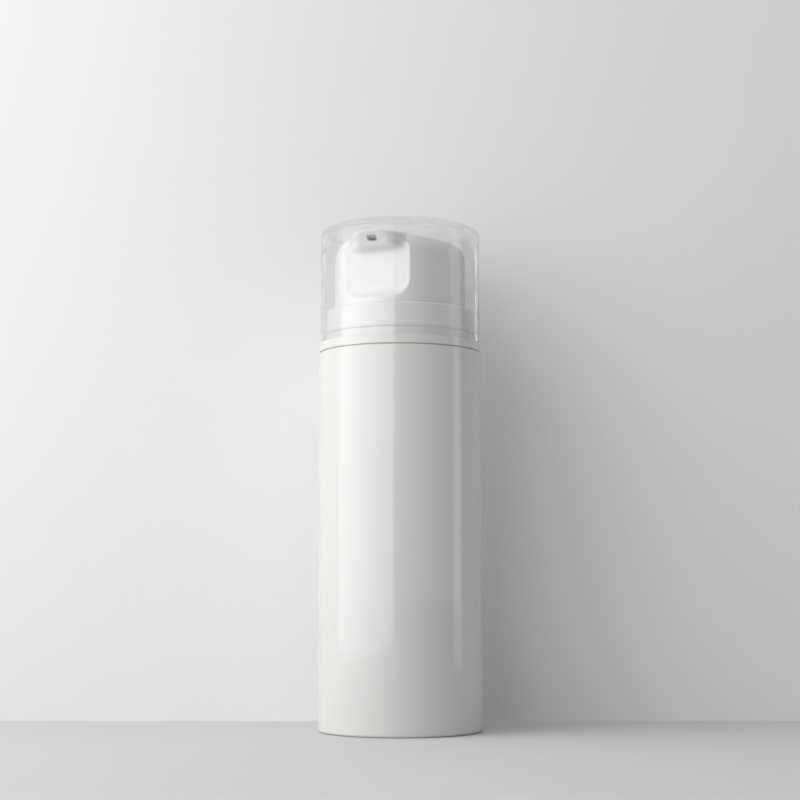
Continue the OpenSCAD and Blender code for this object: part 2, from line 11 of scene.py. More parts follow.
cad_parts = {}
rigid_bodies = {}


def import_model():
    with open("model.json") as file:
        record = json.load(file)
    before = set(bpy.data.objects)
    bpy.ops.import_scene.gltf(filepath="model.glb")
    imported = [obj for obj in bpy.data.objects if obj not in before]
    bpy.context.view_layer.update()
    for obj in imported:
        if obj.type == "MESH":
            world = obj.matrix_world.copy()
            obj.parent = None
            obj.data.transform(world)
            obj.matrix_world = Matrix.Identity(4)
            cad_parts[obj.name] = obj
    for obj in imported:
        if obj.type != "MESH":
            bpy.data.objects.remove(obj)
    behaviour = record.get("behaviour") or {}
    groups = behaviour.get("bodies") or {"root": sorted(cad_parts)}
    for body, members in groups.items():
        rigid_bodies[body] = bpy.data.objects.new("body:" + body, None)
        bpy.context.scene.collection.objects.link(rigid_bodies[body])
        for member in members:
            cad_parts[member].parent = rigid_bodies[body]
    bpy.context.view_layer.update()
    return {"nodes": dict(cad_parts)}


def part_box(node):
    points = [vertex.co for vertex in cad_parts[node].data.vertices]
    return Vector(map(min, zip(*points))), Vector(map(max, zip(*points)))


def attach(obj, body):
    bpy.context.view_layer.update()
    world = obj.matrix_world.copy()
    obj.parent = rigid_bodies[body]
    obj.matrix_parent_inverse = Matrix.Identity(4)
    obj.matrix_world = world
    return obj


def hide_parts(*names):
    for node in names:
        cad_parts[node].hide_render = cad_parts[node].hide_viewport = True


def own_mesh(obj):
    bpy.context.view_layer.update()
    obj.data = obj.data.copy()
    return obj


bl_info = {
    "name": "Airless pump bottle",
    "version": (1, 0, 0),
    "blender": (4, 5, 0),
    "location": "3D View > Sidebar > Pump Bottle",
    "description": "Builds the visible pieces of an airless pump bottle round its packed CAD model",
    "category": "Add Mesh",
}

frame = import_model()

MM = 0.001
ORIGIN = Vector((0, 0, 0))
UP = Vector((0, 0, 1))
FIT = 0.05 * MM            # clearance of pieces that sit in one another
OVER = 1.0 * MM            # how far a cutting tool reaches past what it cuts
TURN_STEPS = 192           # segments round a turned piece
RIM_STEPS = 3              # segments across a rounded edge
COIL_STEPS = 48            # segments round one turn of the spring
WIRE_STEPS = 12            # segments round the spring's wire
END_TURN_PITCH = 1.04      # pitch of the spring's closed end turns, in wire diameters
SHARP_ANGLE = radians(28)  # edges sharper than this stay sharp in the shading
WELD = 1e-7                # corners nearer than this are one corner
SLIVER = 2e-6              # sides shorter than this are taken out of the meshes


def low(node):
    """Lowest corner of a CAD node."""
    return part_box(node)[0]


def high(node):
    """Highest corner of a CAD node."""
    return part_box(node)[1]


def size_property(name, description, millimetres):
    """A length that a user may change, given in millimetres and kept in metres."""
    return FloatProperty(
        name=name, description=description, default=millimetres * MM, min=0.0, unit="LENGTH", precision=5
    )


def share_property(name, description, share):
    """A number between nought and one that a user may change."""
    return FloatProperty(
        name=name, description=description, default=share, min=0.0, max=1.0, subtype="FACTOR"
    )


def colour_property(name, description, colour):
    """A surface colour that a user may change."""
    return FloatVectorProperty(
        name=name, description=description, default=colour, size=4, min=0.0, max=1.0, subtype="COLOR"
    )


class PumpBottleSizes(bpy.types.PropertyGroup):
    """Sizes of the visible pieces."""

    wall: size_property("Barrel wall", "Thickness of the barrel's wall", 2.2)
    shoulder: size_property("Shoulder", "Thickness of the shoulder that closes the barrel", 2.2)
    foot_edge: size_property("Foot edge", "Radius of the edge round the resting face", 0.8)
    neck_radius: size_property("Neck radius", "Outer radius of the neck", 12.5)
    neck_wall: size_property("Neck wall", "Thickness of the neck's wall", 2.0)
    pocket_depth: size_property("Base pocket", "Height of the pocket that takes the base disc", 2.8)
    pocket_step: size_property("Pocket step", "Step in the bore that the base disc stops against", 0.5)
    neck_bead: size_property("Neck bead", "Distance that the neck's bead stands out", 0.4)
    neck_bead_half: size_property("Neck bead half height", "Half of the height of the neck's bead", 0.7)
    rounding: size_property("Edge rounding", "Radius of the barrel's small edges", 0.22)
    seam_height: size_property("Seam height", "Height of the seam under the shoulder ring", 0.3)
    seam_depth: size_property("Seam depth", "Depth of the seam under the shoulder ring", 0.6)
    ring_rounding: size_property("Ring rounding", "Radius of the shoulder ring's edges", 0.13)
    collar_inner: size_property("Collar inner radius", "Inner radius of the pump collar", 19.0)
    collar_hole: size_property("Collar hole", "Radius of the hole in the collar's floor", 14.0)
    collar_floor: size_property("Collar floor", "Thickness of the collar's floor", 1.0)
    collar_rim: size_property("Collar rim", "Outer radius of the edge on the collar's rim", 0.6)
    collar_rounding: size_property("Collar rounding", "Radius of the collar's other edges", 0.12)
    bead_height: size_property("Bead height", "Height of the snap bead above the shoulder ring", 3.1)
    bead_out: size_property("Bead", "Distance that the snap bead stands out", 0.25)
    bead_half: size_property("Bead half height", "Half of the height of the snap bead", 0.8)
    cap_wall: size_property("Overcap wall", "Thickness of the overcap's wall", 1.2)
    cap_top: size_property("Overcap top", "Thickness of the overcap's top", 1.4)
    cap_edge: size_property("Overcap edge", "Radius of the overcap's outer edge", 1.8)
    cap_rounding: size_property("Overcap rim", "Radius of the edges of the overcap's lower rim", 0.25)
    wire: size_property("Spring wire", "Radius of the return spring's wire", 0.4)
    turns: IntProperty(name="Spring turns", description="Turns of the return spring", default=6, min=3)


class PumpBottleHead(bpy.types.PropertyGroup):
    """Sizes of the pump head."""

    crown_height: size_property("Crown", "Height of the flat crown above the resting face", 136.4)
    face_distance: size_property("Face", "Distance from the axis to the front face", 15.8)
    face_width: size_property("Face half width", "Half of the front face's width", 10.3)
    face_corner: size_property("Face corner", "Radius of the front face's corners", 3.5)
    ramp_start: size_property("Ramp start", "Distance from the axis at which the crown starts to rise", 4.0)
    ramp_radius: size_property("Ramp radius", "Radius of the rising crown", 44.0)
    round_width: size_property("Shoulder width", "Width of the rounded shoulder", 3.2)
    round_height: size_property("Shoulder height", "Height of the rounded shoulder", 5.0)
    wall: size_property("Head wall", "Thickness of the head's wall", 1.3)
    roof: size_property("Head roof", "Thickness of the head's roof", 3.2)
    lip_distance: size_property("Lip", "Distance from the axis to the nozzle's upper lip", 20.9)
    lip_rise: size_property("Lip rise", "Height of the nozzle's lip above the flat crown", 1.2)
    slot_height: size_property("Slot height", "Height of the outlet slot", 1.2)
    slot_width: size_property("Slot width", "Width of the outlet slot", 2.7)
    slot_tilt: FloatProperty(
        name="Slot slope", description="Upward slope of the outlet", default=radians(14), subtype="ANGLE"
    )
    spout_back: size_property("Spout end", "Distance from the lip back to the end of the core's spout", 5.6)
    spout_seat: size_property("Spout seat", "Room round the slot that the core's spout takes up", 0.75)
    tube_inner: size_property("Tube radius", "Inner radius of the tube that holds the core", 5.05)
    tube_wall: size_property("Tube wall", "Thickness of that tube's wall", 1.2)
    rib_height: size_property("Rib height", "Height of the ribs under the head's roof", 3.0)
    rib_width: size_property("Rib width", "Thickness of those ribs", 1.0)
    sunk: size_property("Sunk depth", "How far tube and ribs run into the walls that they join", 0.3)


class PumpBottleFinish(bpy.types.PropertyGroup):
    """Colours and gloss of the materials."""

    barrel: colour_property("Barrel", "Glossy white of the barrel and its ring", (0.68, 0.68, 0.665, 1))
    pump: colour_property("Pump", "White of the pump head and its collar", (0.69, 0.69, 0.69, 1))
    inner: colour_property("Inner parts", "Natural white of the hidden pump parts", (0.82, 0.83, 0.84, 1))
    seal: colour_property("Seals", "Grey of the follower, the piston and the gasket", (0.70, 0.72, 0.74, 1))
    steel: colour_property("Steel", "Steel of the spring and the inlet ball", (0.62, 0.62, 0.64, 1))
    clear: colour_property("Overcap", "Tint of the clear overcap", (0.99, 0.992, 0.991, 1))
    passing: colour_property("Clear tint", "Tint of what runs straight through", (0.975, 0.975, 0.972, 1))
    gloss: share_property("Gloss roughness", "Roughness of the glossy white plastic", 0.06)
    satin: share_property("Satin roughness", "Roughness of the pump head's satin white", 0.33)
    polish: share_property("Clear roughness", "Roughness of the clear plastic", 0.01)
    frost: share_property("Rim frost", "Roughness that the overcap's top edge has on top of that", 0.25)
    side_passing: share_property("Clear side", "Share of light that runs straight through the side", 0.2)
    top_passing: share_property("Clear top", "What the overcap's top adds to that share", 0.5)


class PumpBottleStudio(bpy.types.PropertyGroup):
    """Camera, backdrop and lights."""

    azimuth: FloatProperty(
        name="Camera azimuth", description="Direction of the camera, from the nozzle's side",
        default=radians(23.5), subtype="ANGLE",
    )
    pitch: FloatProperty(
        name="Camera pitch", description="Upward tilt of the camera", default=radians(6.19), subtype="ANGLE"
    )
    lens: FloatProperty(name="Lens", description="Focal length in millimetres", default=75.74)
    distance: size_property("Camera distance", "Distance from the camera to the bottle's axis", 475.9)
    height: size_property("Camera height", "Height of the camera above the floor", 41.05)
    wall_gap: size_property("Backdrop", "Distance from the bottle's axis to the backdrop", 33.6)
    left_light: FloatProperty(name="Left panel", description="Brightness of the wide panel", default=2.2)
    upper_back_light: FloatProperty(
        name="Upper back panel", description="Brightness above the wide panel's back half", default=3.1
    )
    upper_front_light: FloatProperty(
        name="Upper front panel", description="Brightness above the wide panel's front half", default=0.1
    )
    right_light: FloatProperty(name="Right panel", description="Brightness of the narrow panel", default=1.28)
    top_light: FloatProperty(name="Top panel", description="Brightness of the panel overhead", default=0.9)
    ambient: FloatProperty(name="Ambient", description="Light from the room on matt surfaces", default=0.055)
    room: FloatProperty(name="Room", description="Room as the camera, glass and gloss show it", default=0.9)
    floor: colour_property("Floor", "Colour of the floor", (0.62, 0.62, 0.62, 1))
    backdrop: colour_property("Backdrop", "Colour of the backdrop", (0.86, 0.86, 0.86, 1))


# Mesh making

def arc(centre, radius, start, end, steps):
    """Points on an arc in the profile plane, from one angle in degrees to another."""
    return [
        (
            centre[0] + radius * cos(radians(start + (end - start) * i / steps)),
            centre[1] + radius * sin(radians(start + (end - start) * i / steps)),
        )
        for i in range(steps + 1)
    ]


def spun(profile, closed=True):
    """A bmesh turned about Z from a run of (radius, height) points; the ends meet or lie on the axis."""
    bm = bmesh.new()
    points = [bm.verts.new((r, 0.0, z)) for r, z in profile]
    links = list(zip(points, points[1:]))
    if closed:
        links.append((points[-1], points[0]))
    edges = [bm.edges.new(pair) for pair in links]
    bmesh.ops.spin(
        bm, geom=points + edges, cent=ORIGIN, axis=UP, angle=2 * pi, steps=TURN_STEPS, use_merge=True
    )
    bmesh.ops.remove_doubles(bm, verts=bm.verts, dist=WELD)
    bmesh.ops.recalc_face_normals(bm, faces=bm.faces)
    return bm


def round_rims(bm, width):
    """Rounds every edge where two faces meet at a clear angle."""
    rims = [e for e in bm.edges if len(e.link_faces) == 2 and e.calc_face_angle(0.0) > SHARP_ANGLE]
    bmesh.ops.bevel(
        bm, geom=rims, offset=width, offset_type="OFFSET", segments=RIM_STEPS, profile=0.5,
        affect="EDGES", clamp_overlap=True, material=-1,
    )


def block(size, centre):
    """A bmesh of a box."""
    bm = bmesh.new()
    bmesh.ops.create_cube(bm, size=1.0)
    bmesh.ops.scale(bm, verts=bm.verts, vec=size)
    bmesh.ops.translate(bm, verts=bm.verts, vec=centre)
    return bm


def bar(half_width, half_height, start, end, height, tilt):
    """A straight bar along -Y that slopes up by tilt, from one distance to another."""
    size = (2 * half_width, (end - start) / cos(tilt), 2 * half_height)
    bm = block(size, (0, -(start + end) / 2 / cos(tilt), 0))
    bmesh.ops.rotate(bm, verts=bm.verts, cent=ORIGIN, matrix=Matrix.Rotation(-tilt, 3, "X"))
    bmesh.ops.translate(bm, verts=bm.verts, vec=(0, 0, height))
    return bm


def mesh_object(name, bm):
    """An object at the origin that holds the finished bmesh."""
    mesh = bpy.data.meshes.new(name)
    bm.to_mesh(mesh)
    bm.free()
    obj = bpy.data.objects.new(name, mesh)
    bpy.context.scene.collection.objects.link(obj)
    return obj


def combine(obj, bm, operation="DIFFERENCE"):
    """Cuts a tool away from a piece, or adds it, and keeps the result as the piece's mesh."""
    tool = mesh_object("tool", bm)
    step = obj.modifiers.new("combine", "BOOLEAN")
    step.object = tool
    step.operation = operation
    step.solver = "EXACT"
    result = bpy.data.meshes.new_from_object(obj.evaluated_get(bpy.context.evaluated_depsgraph_get()))
    obj.modifiers.clear()
    before, obj.data = obj.data, result
    result.name = obj.name
    bpy.data.meshes.remove(before)
    tool_mesh = tool.data
    bpy.data.objects.remove(tool)
    bpy.data.meshes.remove(tool_mesh)


def clean(mesh):
    """Takes the slivers that cutting and rounding leave out of a finished mesh."""
    bm = bmesh.new()
    bm.from_mesh(mesh)
    bmesh.ops.remove_doubles(bm, verts=bm.verts, dist=SLIVER)
    bmesh.ops.dissolve_degenerate(bm, edges=bm.edges, dist=SLIVER)
    bm.to_mesh(mesh)
    bm.free()


def place(obj, node, material):
    """Shades a piece, gives it its material and lets it stand for a CAD node."""
    clean(obj.data)
    obj.data.shade_smooth()
    obj.data.set_sharp_from_angle(angle=SHARP_ANGLE)
    even = obj.modifiers.new("even shading", "WEIGHTED_NORMAL")
    even.keep_sharp = True
    obj.data.materials.clear()
    obj.data.materials.append(material)
    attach(obj, frame["nodes"][node].parent.name.split(":")[1])
    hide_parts(node)


# Materials; the scales of patterns are in features a metre

DRIFT_SCALE = 38.0       # drift of colour over a piece
GLOSS_SCALE = 240.0      # patches of gloss
STREAK_SCALE = 3200.0    # streaks of drawn steel
WAVE_SCALE = 55.0        # slow waves in the clear plastic
PAPER_SCALE = 6.0        # tone of the floor and the backdrop
GLOSS_SPREAD = 0.05      # share by which the gloss varies
PLASTIC_IOR = 1.49
CLEAR_IOR = 1.27         # lower than the plastic's, to keep the overcap's mirror images faint
NOISE_RANGE = (0.3, 0.7)         # most of a noise pattern lies between these
TOP_ZONE = (3.0 * MM, 1.5 * MM)  # depths under the overcap's top where its mask starts and is full
RIM_ZONE = (4.0 * MM, 2.5 * MM)  # the same for the mask of its top edge, in from its side


def new_material(name):
    """A material with its node tree, its principled shader and its object coordinates."""
    material = bpy.data.materials.get(name)
    if material is not None:
        return material, None, None, None
    material = bpy.data.materials.new(name)
    material.use_nodes = True
    tree = material.node_tree
    shader = tree.nodes["Principled BSDF"]
    coordinates = tree.nodes.new("ShaderNodeTexCoord")
    return material, tree, shader, coordinates.outputs["Object"]


def noise(tree, where, scale, detail=3.0):
    """A noise pattern; scale is in features a metre."""
    node = tree.nodes.new("ShaderNodeTexNoise")
    node.inputs["Scale"].default_value = scale
    node.inputs["Detail"].default_value = detail
    tree.links.new(where, node.inputs["Vector"])
    return node.outputs["Fac"]


def ramp(tree, value, start, end, least=0.0, most=1.0):
    """Runs from the least to the most while the value goes from start to end."""
    node = tree.nodes.new("ShaderNodeMapRange")
    node.inputs["From Min"].default_value = start
    node.inputs["From Max"].default_value = end
    node.inputs["To Min"].default_value = least
    node.inputs["To Max"].default_value = most
    tree.links.new(value, node.inputs["Value"])
    return node.outputs["Result"]


def tinted(tree, value, dark, light):
    """Runs a pattern between two near colours."""
    node = tree.nodes.new("ShaderNodeMix")
    node.data_type = "RGBA"
    node.inputs["A"].default_value = dark
    node.inputs["B"].default_value = light
    tree.links.new(value, node.inputs["Factor"])
    return node.outputs["Result"]


def relief(tree, shader, height, distance):
    """Feeds a pattern to the shader's normal as a shallow relief."""
    node = tree.nodes.new("ShaderNodeBump")
    node.inputs["Distance"].default_value = distance
    node.inputs["Strength"].default_value = 1.0
    tree.links.new(height, node.inputs["Height"])
    tree.links.new(node.outputs["Normal"], shader.inputs["Normal"])


def reckoned(tree, operation, *values):
    """One step of arithmetic on sockets and plain numbers."""
    node = tree.nodes.new("ShaderNodeMath")
    node.operation = operation
    for value, socket in zip(values, node.inputs):
        if isinstance(value, bpy.types.NodeSocket):
            tree.links.new(value, socket)
        else:
            socket.default_value = value
    return node.outputs[0]


def ray_kinds(tree, *kinds):
    """One for a ray of any of the kinds, nought for every other."""
    path = tree.nodes.new("ShaderNodeLightPath")
    found = path.outputs[kinds[0]]
    for kind in kinds[1:]:
        found = reckoned(tree, "MAXIMUM", found, path.outputs[kind])
    return found


def choose(tree, output, factor, first, second):
    """Feeds an output with the first shader, or with the second where the factor is one."""
    node = tree.nodes.new("ShaderNodeMixShader")
    tree.links.new(factor, node.inputs[0])
    tree.links.new(first, node.inputs[1])
    tree.links.new(second, node.inputs[2])
    tree.links.new(node.outputs[0], output.inputs["Surface"])


def shade_of(colour, factor):
    """A colour made darker or lighter by a factor."""
    return (*[min(c * factor, 1.0) for c in colour[:3]], 1.0)


def moulded(name, colour, roughness, grain=1400.0, depth=2e-6, spread=0.012):
    """Moulded plastic: a faint drift of colour, uneven gloss and a fine skin from the mould."""
    material, tree, shader, where = new_material(name)
    if tree is None:
        return material
    drift = noise(tree, where, DRIFT_SCALE)
    tone = tinted(tree, drift, shade_of(colour, 1 - spread), shade_of(colour, 1 + spread))
    tree.links.new(tone, shader.inputs["Base Color"])
    least, most = roughness * (1 - GLOSS_SPREAD), roughness * (1 + GLOSS_SPREAD)
    gloss = ramp(tree, noise(tree, where, GLOSS_SCALE), *NOISE_RANGE, least, most)
    tree.links.new(gloss, shader.inputs["Roughness"])
    relief(tree, shader, noise(tree, where, grain), depth)
    shader.inputs["IOR"].default_value = PLASTIC_IOR
    return material


def rubbery(name, colour):
    """Soft sealing plastic: matt, with a cloudy tone."""
    return moulded(name, colour, roughness=0.46, grain=2600.0, depth=4e-6, spread=0.03)


def steel_wire(name, colour):
    """Drawn steel: polished, with fine streaks."""
    material, tree, shader, where = new_material(name)
    if tree is None:
        return material
    shader.inputs["Metallic"].default_value = 1.0
    streaks = noise(tree, where, STREAK_SCALE, detail=6.0)
    tree.links.new(tinted(tree, streaks, shade_of(colour, 0.9), colour), shader.inputs["Base Color"])
    gloss = ramp(tree, streaks, *NOISE_RANGE, least=0.18, most=0.34)
    tree.links.new(gloss, shader.inputs["Roughness"])
    relief(tree, shader, streaks, distance=1e-6)
    return material


def cap_zones(tree, where, corner):
    """Two masks of the overcap: its top with the rounded edge, and the rounded edge alone."""
    parts = tree.nodes.new("ShaderNodeSeparateXYZ")
    tree.links.new(where, parts.inputs[0])
    flat = tree.nodes.new("ShaderNodeCombineXYZ")
    tree.links.new(parts.outputs["X"], flat.inputs["X"])
    tree.links.new(parts.outputs["Y"], flat.inputs["Y"])
    radius = tree.nodes.new("ShaderNodeVectorMath")
    radius.operation = "LENGTH"
    tree.links.new(flat.outputs[0], radius.inputs[0])
    top = ramp(tree, parts.outputs["Z"], *[corner.z - depth for depth in TOP_ZONE])
    outside = ramp(tree, radius.outputs["Value"], *[corner.x - depth for depth in RIM_ZONE])
    return top, reckoned(tree, "MULTIPLY", top, outside)


def clear_plastic(scene):
    """Clear moulded plastic that lets the lamps' light through to what it covers."""
    finish = scene.pump_bottle_finish
    material, tree, shader, where = new_material("clear plastic")
    if tree is None:
        return material
    shader.inputs["Base Color"].default_value = finish.clear
    shader.inputs["Transmission Weight"].default_value = 1.0
    shader.inputs["IOR"].default_value = CLEAR_IOR
    top, rim = cap_zones(tree, where, high("overcap"))
    roughness = reckoned(tree, "MULTIPLY_ADD", rim, finish.frost, finish.polish)
    tree.links.new(roughness, shader.inputs["Roughness"])
    relief(tree, shader, noise(tree, where, WAVE_SCALE), distance=1.5e-6)
    straight = tree.nodes.new("ShaderNodeBsdfTransparent")
    straight.inputs["Color"].default_value = finish.passing
    share = reckoned(tree, "MULTIPLY_ADD", top, finish.top_passing, finish.side_passing)
    lamps = ray_kinds(tree, "Is Shadow Ray", "Is Diffuse Ray")
    factor = reckoned(tree, "MAXIMUM", lamps, share)
    choose(tree, tree.nodes["Material Output"], factor, shader.outputs[0], straight.outputs[0])
    return material


def barrel_plastic(scene):
    """Glossy white of the barrel and the shoulder ring."""
    finish = scene.pump_bottle_finish
    return moulded("barrel white", finish.barrel, finish.gloss)


# The head's form, in millimetres: angles in degrees from the nozzle, u along the nozzle's line

FACE_RISE = 1.3       # from the collar's rim to the lower end of the front face
RUNOUT = 4.6          # height over which the face runs out into the skirt
FACE_DROP = 1.0       # from the flat crown to the upper end of the face
FACE_EDGE = 0.3       # margin at the face's ends and at the nozzle's sides
FACE_SOFT = 0.9       # width of the softened edge round the face
LOW_SOFT = 2.2        # the same at the face's lower end
LOW_CORNER = 1.9      # how much rounder the face's lower corners are than its upper ones
FRONT_LIMIT = 60.0    # the face and the nozzle lie within this angle
UPPER_DROP = 7.9      # from the flat crown to where the head's and the nozzle's profiles part
SPOUT_DROP = 5.4      # from the flat crown to the spout's line at the axis
SIDE_SHARE = 0.25     # share of the upper stations that lie on the upright side
FLANK_EDGE = 0.12     # roundness of the edge where the nozzle's flank starts
FLANK_SWELL = 0.8     # fullness of the flank
RUNOUT_STEPS = 14     # stations in the run-out, closer together at its lower end
RUNOUT_CROWDING = 1.6  # one would space them evenly
WALL_STEPS = 8        # steps from there to the upper stations
UPPER_STEPS = 60      # steps over the shoulder and round the nozzle
CROWN_STEPS = 12      # rings of the crown
FRONT_SECTOR = 54.0   # the finer front sector reaches to this angle on both sides
FRONT_STEPS = 144     # segments in that sector
BACK_STEPS = 96       # segments in the rest
BRIDGE = (0.25, 0.5, 0.75)  # rings between the last upper station and the crown


def clamp(value, least=0.0, most=1.0):
    """Keeps a value within two limits."""
    return min(max(value, least), most)


def ease(t):
    """Smooth step from 0 to 1."""
    t = clamp(t)
    return t * t * (3 - 2 * t)


def flank(past, width):
    """Falls from 1 to 0 over a width: quickly at first and then ever more gently."""
    t = max(past, 0) / width
    t = clamp(hypot(t, FLANK_EDGE) - FLANK_EDGE)
    return (1 - t) ** 2 * (1 + FLANK_SWELL * t)


def mix(a, b, t):
    """Blend of two numbers."""
    return a + (b - a) * t


def curve(a, b, c, d, t):
    """Runs smoothly from b to c; a comes before them and d after."""
    bend = 2 * a - 5 * b + 4 * c - d
    twist = 3 * b - a - 3 * c + d
    return b + (t * (c - a) + t ** 2 * bend + t ** 3 * twist) / 2


class HeadForm:
    """The outer surface of the pump head, as points for an angle and a station up the side."""

    def __init__(self, head, collar_top, skirt_low, radius):
        self.radius = radius
        self.skirt = skirt_low
        self.crown = head.crown_height / MM
        self.face_y = head.face_distance / MM
        self.half_width = head.face_width / MM
        self.corner = head.face_corner / MM
        self.ramp_y = head.ramp_start / MM
        self.ramp_r = head.ramp_radius / MM
        self.round_w = head.round_width / MM
        self.round_h = head.round_height / MM
        self.rim = radius - self.round_w
        self.face_low = collar_top + FACE_RISE
        self.face_high = self.crown - FACE_DROP
        self.upper = self.crown - UPPER_DROP
        self.lip_y = head.lip_distance / MM
        self.lip_z = self.crown + head.lip_rise / MM
        lip, face = self.lip_y, self.face_y
        # Nozzle's profile on its centre line: distance from the axis, depth below the lip, half width,
        # and the width over which its flank blends into the head
        self.beak = [
            (face, 9.1, 3.5, 4), (face, 7.5, 3.5, 4.5), (face, 6.2, 3.6, 5), (face + 0.05, 5.3, 3.8, 5.2),
            (face + 0.5, 4.6, 4.1, 5.4), (face + 1.5, 4.15, 4.3, 5.6), (lip - 2.7, 3.6, 4.3, 5.8),
            (lip - 1.9, 2.4, 4.1, 6.4), (lip - 1.1, 1.3, 3.6, 7.4), (lip - 0.3, 0.4, 2.9, 8.4),
            (lip, 0, 2.5, 9), (lip - 0.15, -0.2, 2.3, 9.2), (lip - 0.7, -0.3, 2.2, 9.4),
            (lip - 2.4, -0.25, 2.2, 9.6), (lip - 4.1, -0.1, 2.3, 9.8),
        ]
        self.last = (len(self.beak) - 1) / len(self.beak)   # the last upper station

    def crown_at(self, u):
        """Height of the crown along the nozzle's line."""
        return self.crown + max(u - self.ramp_y, 0) ** 2 / (2 * self.ramp_r)

    def inside_face(self, x, z):
        """Distance inside the rounded outline of the front face."""
        middle = (self.face_low + self.face_high) / 2
        half = (self.face_high - self.face_low) / 2 + FACE_EDGE
        corner = self.corner if z > middle else self.corner * LOW_CORNER
        across = max(abs(x) - self.half_width + corner, 0)
        along = max(abs(z - middle) - half + corner, 0)
        return corner - hypot(across, along)

    def cut_radius(self, r, angle, z):
        """Radius at an angle and a height, after the front face is taken off."""
        if abs(angle) >= FRONT_LIMIT:
            return r
        share = clamp((z - self.face_low) / RUNOUT)
        runout = 1 - (1 - share) ** 2
        soft = mix(LOW_SOFT, FACE_SOFT, share)
        depth = ease(self.inside_face(r * sin(radians(angle)), z) / soft) * runout
        return r - depth * max(r - self.face_y / cos(radians(angle)), 0)

    def own_station(self, angle, t):
        """The head's own profile, up the side and round the shoulder; t runs from 0 to 1."""
        rim_z = self.crown_at(self.rim * cos(radians(angle)))
        turn = radians(90 * max(t - SIDE_SHARE, 0) / (1 - SIDE_SHARE))
        r = self.rim + self.round_w * cos(turn)
        z = rim_z - self.round_h + self.round_h * sin(turn)
        if t < SIDE_SHARE:
            z = mix(self.upper, rim_z - self.round_h, t / SIDE_SHARE)
        return self.cut_radius(r, angle, z), z

    def beak_at(self, t):
        """The nozzle's profile at a station, smoothed through its listed points."""
        end = len(self.beak) - 1
        spot = clamp(t * len(self.beak), 0, end)
        i = min(int(spot), end - 1)
        s = spot - i
        near = [self.beak[clamp(i + k, 0, end)] for k in (-1, 0, 1, 2)]
        return [curve(*four, s) for four in zip(*near)]

    def upper_station(self, angle, t):
        """Blend of the head's own profile and the nozzle's."""
        own = self.own_station(angle, t)
        if abs(angle) > FRONT_LIMIT:
            return own
        u, depth, half, soft = self.beak_at(t)
        a = radians(angle)
        weight = flank(abs(u * tan(a)) - half + FACE_EDGE, soft)
        return mix(own[0], u / cos(a), weight), mix(own[1], self.lip_z - depth, weight)

    def levels(self):
        """Stations from the skirt to the crown: each a kind and a value."""
        side = [self.skirt, mix(self.skirt, self.face_low, 0.5), self.face_low - FACE_EDGE]
        side += [
            self.face_low + RUNOUT * (i / RUNOUT_STEPS) ** RUNOUT_CROWDING for i in range(RUNOUT_STEPS + 1)
        ]
        side += [mix(self.face_low + RUNOUT, self.upper, i / WALL_STEPS) for i in range(1, WALL_STEPS)]
        upper = [self.last * i / UPPER_STEPS for i in range(UPPER_STEPS + 1)]
        crown = [self.rim * (1 - i / CROWN_STEPS) for i in range(CROWN_STEPS)]
        runs = (("side", side), ("upper", upper), ("bridge", BRIDGE), ("crown", crown))
        return [(kind, value) for kind, values in runs for value in values]

    def point(self, kind, value, angle):
        """Radius and height of one station at an angle."""
        if kind == "side":
            return self.cut_radius(self.radius, angle, value), value
        if kind == "upper":
            return self.upper_station(angle, value)
        if kind == "crown":
            return value, self.crown_at(value * cos(radians(angle)))
        start, end = self.upper_station(angle, self.last), self.point("crown", self.rim, angle)
        return mix(start[0], end[0], value), mix(start[1], end[1], value)


def head_mesh(form):
    """The head as a closed form: its back profile is spun, finer in front, and then shaped."""
    levels = form.levels()
    profile = [form.point(kind, value, 180.0) for kind, value in levels]
    profile = [(0.0, form.skirt)] + profile + [(0.0, form.crown)]
    bm = bmesh.new()
    station = bm.verts.layers.int.new("station")
    sectors = ((-FRONT_SECTOR, FRONT_SECTOR, FRONT_STEPS), (FRONT_SECTOR, 360 - FRONT_SECTOR, BACK_STEPS))
    for start, end, steps in sectors:
        a = radians(start)
        points = [bm.verts.new((r * sin(a) * MM, -r * cos(a) * MM, z * MM)) for r, z in profile]
        for i, point in enumerate(points):
            point[station] = i
        edges = [bm.edges.new(pair) for pair in zip(points, points[1:])]
        bmesh.ops.spin(
            bm, geom=points + edges, cent=ORIGIN, axis=UP, angle=radians(end - start), steps=steps
        )
    for v in bm.verts:
        i = v[station]
        if 0 < i <= len(levels):
            angle = degrees(atan2(v.co.x, -v.co.y))
            r, z = form.point(*levels[i - 1], angle)
            a = radians(angle)
            v.co = Vector((r * sin(a), -r * cos(a), z)) * MM
    bmesh.ops.remove_doubles(bm, verts=bm.verts, dist=10 * WELD)
    bmesh.ops.recalc_face_normals(bm, faces=bm.faces)
    return bm


